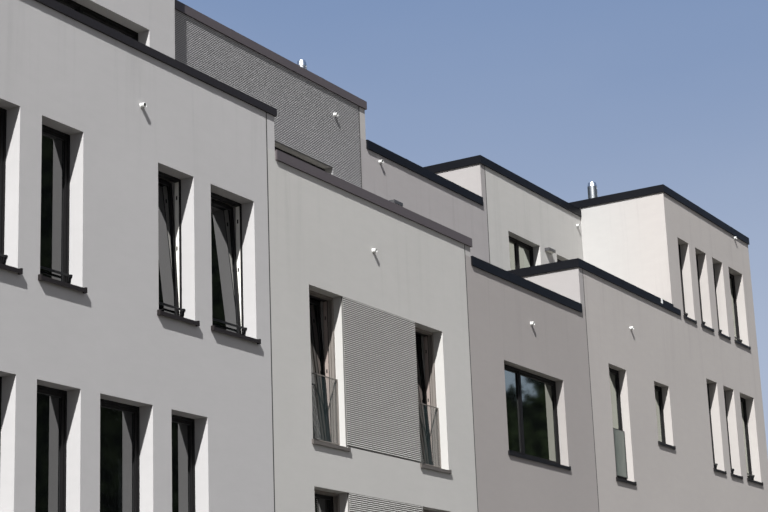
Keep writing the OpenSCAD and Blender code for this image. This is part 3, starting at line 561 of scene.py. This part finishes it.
def makeSeals(look):
    mesh = bmesh.new()
    mesh.from_mesh(frame["nodes"]["window_glass"].data)
    bmesh.ops.remove_doubles(mesh, verts=mesh.verts, dist=0.0001)
    bmesh.ops.dissolve_limit(mesh, angle_limit=0.01, verts=mesh.verts, edges=mesh.edges)
    inner = [face for face in mesh.faces if face.calc_area() <= look["smallest"]
             or face.normal.y * face.calc_center_median().y <= 0.5]
    bmesh.ops.delete(mesh, geom=inner, context="FACES")
    rims = set(bmesh.ops.inset_individual(mesh, faces=mesh.faces[:],
                                          thickness=look["width"])["faces"])
    panes = [face for face in mesh.faces if face not in rims]
    bmesh.ops.delete(mesh, geom=panes, context="FACES_ONLY")
    bmesh.ops.solidify(mesh, geom=mesh.faces[:], thickness=-look["proud"])
    piece("paneSeals", mesh, "frame_metal",
          smoothFinish("sealRubber", look["rubber"], 0.75, 0.0005, 60.0))


# What shows in the gap of a tilted sash: the light core of the frame and its dark keepers
rebateLook = {
    "tilted": 0.12,  # a sash deeper than this stands tilted
    "gap": 0.004,
    "lining": 0.0015,
    "setIn": 0.004,  # from the outer face of the frame to the lining
    "deep": 0.060,
    "foot": 0.02,
    "keepers": [0.13, 0.5, 0.87],  # heights on the jamb
    "keeperHeight": 0.05,
    "keeperDeep": 0.02,
    "keeperShare": 0.75,  # of the gap
    "zinc": tint(58, 57, 56),
    "cores": [tint(226, 224, 218), tint(146, 134, 128), tint(226, 224, 218),
              tint(226, 224, 218)],  # by house, from a to d
}
windowNodes = ["front_windows_a", "front_windows_b", "front_windows_c", "front_windows_d",
               "rear_windows"]


def makeRebates(look):
    linings, keepers = bmesh.new(), bmesh.new()
    for name in windowNodes:
        for low, high in solidsOf(name):
            if high.y - low.y < look["tilted"]:
                continue
            rear = low.y > 0
            front = high.y - look["deep"] - look["setIn"] if rear else low.y + look["setIn"]
            back = front + look["deep"]
            for jamb, side in ((low.x - look["gap"], 1), (high.x + look["gap"], -1)):
                inner = jamb + side * look["lining"]
                bar(linings, (min(jamb, inner), front, low.z + look["foot"]),
                    (max(jamb, inner), back, high.z), 0.0004)
                inner = jamb + side * look["gap"] * look["keeperShare"]
                for share in look["keepers"]:
                    height = low.z + share * (high.z - low.z)
                    middle = (front + back) / 2
                    bar(keepers, (min(jamb, inner), middle - look["keeperDeep"] / 2, height),
                        (max(jamb, inner), middle + look["keeperDeep"] / 2,
                         height + look["keeperHeight"]), 0.0006)
    piece("rebateLinings", linings, "frame_metal",
          smoothFinish("frameCore", lambda f: byHouse(f, look["cores"]), 0.35, 0.0004, 30.0))
    piece("strikerPlates", keepers, "guard_metal",
          smoothFinish("keeperZinc", look["zinc"], 0.4, 0.0004, 30.0, 0.6))


# Slotted caps over the drain holes in the foot of each frame
capLook = {
    "width": 0.034, "height": 0.007, "proud": 0.004, "up": 0.031,
    "from": 0.16,  # from the end of the frame
    "frameDeep": 0.075,  # tells a frame from a sash
}


def makeDrainCaps(look):
    mesh = bmesh.new()
    for name in windowNodes + ["penthouse_windows"]:
        for low, high in solidsOf(name):
            if abs(high.y - low.y - look["frameDeep"]) > 0.0005:
                continue
            face, out = (high.y, 1) if low.y > 0 else (low.y, -1)
            for middle in (low.x + look["from"], high.x - look["from"]):
                half, skin = look["width"] / 2, face + out * look["proud"]
                foot = low.z + look["up"]
                bar(mesh, (middle - half, min(face, skin), foot),
                    (middle + half, max(face, skin), foot + look["height"]), 0.0015)
    piece("drainCaps", mesh, "frame_metal")


makeSeals(sealLook)
makeRebates(rebateLook)
makeDrainCaps(capLook)
print("windows dressed")


# Overflow spouts: a beaded lip, a collar on the render and, a little inside the mouth, a dark disc
# that paints the shade inside the pipe
spoutLook = {
    "wall": 0.006, "bead": 0.0015, "beadLength": 0.009, "collar": 0.006, "collarDeep": 0.004,
    # the disc inside the bore and its dark colour are painted shade
    "flapBack": 0.010, "flapThick": 0.006, "flapGap": 0.0005, "rubber": tint(30, 30, 31),
    "sunk": 0.001,  # how far the lip and the collar reach into the pipe
}


def makeSpouts(look):
    lips, mouthShadeDiscs = bmesh.new(), bmesh.new()
    inward = Vector((0, 1, 0))
    for low, high in solidsOf("overflow_spouts"):
        radius, bead, back = (high.x - low.x) / 2, look["bead"], look["flapBack"]
        seat, collar = radius - look["sunk"], radius + look["collar"]
        mouth = Vector(((low.x + high.x) / 2, low.y, (low.z + high.z) / 2))
        long = high.y - low.y
        turned(lips, [(seat, 0.0005), (radius + bead, 0.0015), (radius + bead, look["beadLength"]),
                      (seat, look["beadLength"] + bead)], mouth, inward, 40)
        turned(lips, [(seat, long - look["collarDeep"]),
                      (collar - 0.002, long - look["collarDeep"]), (collar, long), (seat, long)],
               mouth, inward, 40)
        # Painted shade: a dark disc a little inside the mouth fills the bore, in place of the
        # shaded inside of the pipe
        bore = radius - look["wall"]
        rim = bore - look["flapGap"]
        turned(mouthShadeDiscs, [(0, back), (bore * 0.9, back + 0.001), (rim, back + look["flapThick"] / 2),
                       (rim, back + look["flapThick"]), (0, back + look["flapThick"])],
               mouth, inward, 40)
    piece("spoutLips", lips, "spout_plastic")
    piece("spoutMouthShade", mouthShadeDiscs, "joint_seal",
          smoothFinish("mouthShadeDark", look["rubber"], 0.8, 0.0005, 60.0))


# Cover straps over the butt joints of the copings, each a saddle on a parapet
copingLook = {
    "width": 0.09,
    "proud": 0.0014,
    "parapet": 0.418,  # depth of the coping of a facade parapet
    "penthouse": 0.358,
    "clear": 0.3,  # least distance from a strap to the end of its coping
    "parapetBehind": 5.0,  # distance from the middle of the row past which a face is a parapet's
    "penthouseBehind": 3.0,
    "bareAt": 6.94,  # the open joint of bare zinc on the parapet of house d
    "bareFoot": 0.06,
    # painted highlight: the bare zinc strap over the open joint is coloured near white, standing
    # for the sun's glint on it
    "zinc": tint(232, 233, 231),
    "a": [-10.84, -7.69],
    "b": [-4.63, -2.2],
    "c": [0.42, 2.1],
    "d": [5.1, 6.94, 9.4, 11.4],
}


def makeCopingStraps(look):
    for house in "abcd":
        mesh, highlightStraps = bmesh.new(), bmesh.new()
        for low, high in solidsOf("coping_" + house):
            for face, out in ((low.y, -1), (high.y, 1)):
                if abs(face) < look["penthouseBehind"]:
                    continue
                parapet = abs(face) > look["parapetBehind"]
                deep = look["parapet"] if parapet else look["penthouse"]
                for place in look[house]:
                    if not low.x + look["clear"] < place < high.x - look["clear"]:
                        continue
                    bare = place == look["bareAt"] and parapet and out < 0
                    target = highlightStraps if bare else mesh
                    left, right = place - look["width"] / 2, place + look["width"] / 2
                    skin, inner = face + out * look["proud"], face - out * deep
                    top = high.z + look["proud"]
                    foot = low.z + (look["bareFoot"] if bare else 0.0)
                    bar(target, (left, min(skin, face), foot), (right, max(skin, face), top),
                        0.0003)
                    bar(target, (left, min(skin, inner), high.z - 0.0002),
                        (right, max(skin, inner), top), 0.0003)
        slotName = "coping_cd" if house in "cd" else "coping_" + house
        piece("copingStraps_" + house, mesh, slotName)
        if house == "d":
            # the strap over the open joint is real; its near-white finish is a painted highlight
            piece("parapetJoint", highlightStraps, slotName,
                  smoothFinish("bareZincHighlight", look["zinc"], 0.5, 0.0005, 30.0))


# Flues: ribs where the pipe sections meet, the folded seam and the bolts of the clamp
flueLook = {
    "wall": 0.012, "rib": 0.0035, "ribs": [0.2, 0.5, 0.78],
    "seam": 0.0025, "seamFoot": 0.04, "seamHead": 0.095,
    "clamp": 0.412,  # from the top of the flue
    "lug": 0.022, "lugThick": 0.004, "lugHeight": 0.03, "lugFrom": 0.003, "lugTo": 0.028,
    "boltRadius": 0.004, "boltLong": 0.04, "boltOff": 0.018,
}


def makeFlueFittings(look):
    mesh = bmesh.new()
    up = Vector((0, 0, 1))
    for low, high in solidsOf("flues"):
        foot = Vector(((low.x + high.x) / 2, (low.y + high.y) / 2, low.z))
        radius, rib = (high.x - low.x) / 2 - look["wall"], look["rib"]
        for share in look["ribs"]:
            level = share * (high.z - low.z)
            turned(mesh, [(radius - 0.001, level - rib), (radius + rib, level - rib / 2),
                          (radius + rib, level + rib / 2), (radius - 0.001, level + rib)],
                   foot, up, 48)
        seam, face = look["seam"], foot.y - radius
        bar(mesh, (foot.x - seam, face - seam, foot.z + look["seamFoot"]),
            (foot.x + seam, face + 0.001, high.z - look["seamHead"]), 0.0008)
        level = high.z - look["clamp"]
        thick, tall = look["lugThick"] / 2, look["lugHeight"] / 2
        for side in (-1, 1):
            middle = foot.x + side * look["lug"] / 2
            bar(mesh, (middle - thick, face - look["lugTo"], level - tall),
                (middle + thick, face - look["lugFrom"], level + tall), 0.0006)
        bolt, half = look["boltRadius"], look["boltLong"] / 2
        turned(mesh, [(0, -half), (bolt, -half), (bolt, half), (0, half)],
               (foot.x, face - look["boltOff"], level), (1, 0, 0), 16)
    piece("flueFittings", mesh, "flue_steel")


# Edge strips on the glass guards and light panels under the wall lamps
edgeLook = {
    "lap": 0.002, "side": 0.001,
    "over": 0.009,  # how far a strip covers the pane
    "beyond": 0.003,  # how far it stands past the edge of the pane
}
diffuserLook = {"inset": 0.012, "proud": 0.004, "white": tint(222, 221, 214)}


def makeGuardEdges(look):
    mesh = bmesh.new()
    for low, high in solidsOf("glass_guards"):
        for foot, top in ((low.z - look["beyond"], low.z + look["over"]),
                          (high.z - look["over"], high.z + look["beyond"])):
            bar(mesh, (low.x + look["side"], low.y - look["lap"], foot),
                (high.x - look["side"], high.y + look["lap"], top), 0.001)
    piece("guardEdges", mesh, "guard_metal")


def makeDiffusers(look):
    mesh = bmesh.new()
    for low, high in solidsOf("wall_lamps"):
        inset = look["inset"]
        bar(mesh, (low.x + inset, low.y + inset, low.z - look["proud"]),
            (high.x - inset, high.y - inset, low.z + 0.001), 0.002)
    piece("lampDiffusers", mesh, "lamp_body",
          smoothFinish("diffuser", look["white"], 0.3, 0.0003, 60.0))


makeSpouts(spoutLook)
makeCopingStraps(copingLook)
makeFlueFittings(flueLook)
makeGuardEdges(edgeLook)
makeDiffusers(diffuserLook)
print("spouts, copings, flues, guards and lamps dressed")


# Terraces and roofs: slabs on the terraces, service paths and sheet upstands
slabLook = {
    "side": 0.4, "gap": 0.005, "height": 0.019, "edge": 0.003, "margin": 0.06,
    "pathEnd": 0.3,  # from the end of a service path to the parapet
    "cast": tint(132, 130, 125),
}
sheetLook = {"height": 0.15, "thick": 0.006, "rail": 0.022, "railThick": 0.004,
             "zinc": tint(150, 151, 152)}
terraceLevel = 8.0  # floors above it are terraces
towerWallThick = 0.3


def laySlabs(mesh, low, high, level, look):
    # as many whole slabs as fit between two corners, centred
    pitch = look["side"] + look["gap"]
    counts = [int((high[k] - low[k] - 2 * look["margin"] + look["gap"]) / pitch) for k in (0, 1)]
    start = [(low[k] + high[k] - counts[k] * pitch) / 2 + look["gap"] / 2 for k in (0, 1)]
    for column in range(counts[0]):
        for row in range(counts[1]):
            x, y = start[0] + column * pitch, start[1] + row * pitch
            bar(mesh, (x, y, level), (x + look["side"], y + look["side"], level + look["height"]),
                look["edge"])


def standSheet(sheets, rails, low, high, level, sides, look):
    # the roof sheet turned up along a parapet, with a clamping rail on its upper edge
    thick, top = look["thick"], level + look["height"]
    runs = {
        "front": ((low[0], low[1]), (high[0], low[1] + thick), (0, 1)),
        "back": ((low[0], high[1] - thick), (high[0], high[1]), (0, -1)),
        "left": ((low[0], low[1]), (low[0] + thick, high[1]), (1, 0)),
        "right": ((high[0] - thick, low[1]), (high[0], high[1]), (-1, 0)),
    }
    for side in sides:
        first, last, inward = runs[side]
        bar(sheets, (*first, level), (*last, top), 0.001)
        shift = [look["railThick"] * inward[k] for k in (0, 1)]
        bar(rails, (first[0] + shift[0], first[1] + shift[1], top - look["rail"]),
            (last[0] + shift[0], last[1] + shift[1], top - 0.002), 0.0008)


def slabFinish(look):
    # cast slabs: each has its own tone, fine speckle and stains
    finish = Finish("castSlab")
    place = finish.place
    patch = finish.noise(place.stretched(2.4, 2.4, 0.0), 1.0, 1.0) - 0.5
    speck = finish.noise(place, 420.0, 2.0, 0.7)
    stain = finish.noise(place, 2.2, 5.0, 0.62) - 0.5
    tone = 1 + patch * 0.16 + (speck - 0.5) * 0.22 + stain * 0.14
    return finish.surface({
        "Base Color": finish.shaded(look["cast"], tone),
        "Roughness": 0.82 + speck * 0.12,
        "Normal": finish.bump(speck, 0.0008, 0.8),
    })


def makeRoofs(slabLook, sheetLook):
    slabs, sheets, rails = bmesh.new(), bmesh.new(), bmesh.new()
    terraces = [box for box in solidsOf("floors") if box[1].z > terraceLevel]
    towerWall = solidsOf("roof_decks")[-1][0].x - towerWallThick
    for (low, high), house in zip(terraces, "abcd"):
        back = penthouseFace
        if house == "a":
            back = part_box("penthouse_wall_" + house)[0][1]
        area = ((low.x, low.y), (min(high.x, towerWall), back))
        laySlabs(slabs, *area, high.z, slabLook)
        standSheet(sheets, rails, *area, high.z, ("front", "left", "right"), sheetLook)
    for low, high in solidsOf("roof_decks"):
        middle, end = (low.x + high.x) / 2, slabLook["pathEnd"]
        half = slabLook["side"] / 2 + slabLook["margin"] + 0.01
        laySlabs(slabs, (middle - half, low.y + end), (middle + half, high.y - end), high.z,
                 slabLook)
        standSheet(sheets, rails, (low.x, low.y), (high.x, high.y), high.z,
                   ("front", "back", "left", "right"), sheetLook)
    piece("pavingSlabs", slabs, "concrete", slabFinish(slabLook))
    piece("sheetUpstands", sheets, "roofing")
    piece("clampRails", rails, "rail_metal",
          smoothFinish("clampRail", sheetLook["zinc"], 0.4, 0.0004, 40.0, 0.7))


makeRoofs(slabLook, sheetLook)
print("terraces and roofs laid")


# Entrance doors: glazed strip, bar handle, lock, hinges and weather bar
doorLook = {
    "stripSide": 0.16, "stripWide": 0.15, "stripFoot": 0.30, "stripHead": 0.22,
    "trim": 0.014, "trimProud": 0.005,
    "barUp": 0.45, "barLong": 1.25, "barRadius": 0.015, "barOff": 0.055, "barSide": 0.075,
    "barEnds": (0.12, 0.88),  # shares of its length where the handle is fixed
    "lockUp": 1.02, "lockSide": 0.045,
    "hinges": [0.2, 1.05, 1.85], "weatherBar": 0.024,
    "leafDeep": 0.07,  # a solid deeper than this is a frame
    "steel": tint(188, 189, 190),
}
# Outlines as radius and distance from the face of the door, or height on a hinge
lockOutline = [(0, -0.001), (0.024, -0.001), (0.024, 0.006), (0.022, 0.008), (0.011, 0.008),
               (0.011, 0.011), (0, 0.011)]
hingeOutline = [(0, 0), (0.008, 0), (0.0095, 0.002), (0.0095, 0.088), (0.008, 0.09), (0, 0.09)]


def makeDoors(look):
    trims, panes, steel = bmesh.new(), bmesh.new(), bmesh.new()
    up, out = Vector((0, 0, 1)), Vector((0, -1, 0))
    for low, high in solidsOf("entrance_doors"):
        if high.y - low.y > look["leafDeep"]:
            continue
        left = low.x + look["stripSide"]
        stripLow = (left, low.y, low.z + look["stripFoot"])
        stripHigh = (left + look["stripWide"], low.y, high.z - look["stripHead"])
        flatFrame(trims, stripLow, stripHigh, look["trim"], look["trimProud"])
        bar(panes, (stripLow[0] + look["trim"], low.y - 0.002, stripLow[2] + look["trim"]),
            (stripHigh[0] - look["trim"], low.y + 0.001, stripHigh[2] - look["trim"]), 0.0005)
        bar(trims, (low.x + 0.004, low.y - look["weatherBar"], low.z + 0.014),
            (high.x - 0.004, low.y + 0.001, low.z + 0.044), 0.006)
        handle = Vector((low.x + look["barSide"], low.y - look["barOff"], low.z + look["barUp"]))
        radius, long = look["barRadius"], look["barLong"]
        turned(steel, [(0, 0), (radius - 0.003, 0), (radius, 0.003), (radius, long - 0.003),
                       (radius - 0.003, long), (0, long)], handle, up, 24)
        for share in look["barEnds"]:
            turned(steel, [(0, -0.001), (0.017, -0.001), (0.017, 0.004), (0.008, 0.007),
                           (0.008, look["barOff"]), (0, look["barOff"])],
                   (handle.x, low.y, handle.z + share * long), out, 20)
        turned(steel, lockOutline,
               (handle.x + look["lockSide"], low.y, low.z + look["lockUp"]), out, 28)
        for level in look["hinges"]:
            turned(steel, hingeOutline, (high.x + 0.002, low.y - 0.011, low.z + level), up, 20)
            bar(steel, (high.x - 0.001, low.y - 0.012, low.z + level + 0.02),
                (high.x + 0.006, low.y + 0.001, low.z + level + 0.07), 0.001)
    piece("doorTrims", trims, "door_metal", finishes["frame_metal"])
    piece("doorPanes", panes, "window_glass")
    piece("doorSteel", steel, "door_metal",
          smoothFinish("brushedSteel", look["steel"], 0.34, 0.0003, 30.0, 1.0))


# Drip rail over the darker foot of the walls, cut at doors, tall windows and joints
railLook = {
    "proud": 0.008, "height": 0.014, "side": 0.004,
    "lap": 0.004,  # how far the rail covers the darker foot
    "shortest": 0.05,
    "colour": tint(128, 127, 125),
}
houseRuns = [(-12.44, -6.452), (-6.428, -1.072), (-1.048, 3.348), (3.372, 12.44)]


def makeBaseRails(look):
    mesh = bmesh.new()
    level = wallLook["baseHeight"]
    holes = [box for name in windowNodes + ["entrance_doors", "blind_rails"]
             for box in solidsOf(name) if box[0].z < level + 0.02]
    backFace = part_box("rear_wall_a")[1].y
    for face, out in ((facadeFace, -1), (backFace, 1)):
        gaps = sorted((low.x, high.x) for low, high in holes if (low.y > 0) == (out > 0))
        for start, end in houseRuns:
            at = start
            for first, last in gaps + [(end, end)]:
                if last < at or first > end + 0.001:
                    continue
                if first - at > look["shortest"]:
                    skin, foot = face + out * look["proud"], level - look["lap"]
                    bar(mesh, (at, min(face, skin), foot),
                        (first - look["side"], max(face, skin), foot + look["height"]), 0.0015)
                at = max(at, last + look["side"])
    piece("baseRails", mesh, "rail_metal",
          smoothFinish("baseRail", look["colour"], 0.5, 0.0005, 30.0, 0.3))


makeDoors(doorLook)
makeBaseRails(railLook)
print("doors and wall foot dressed")
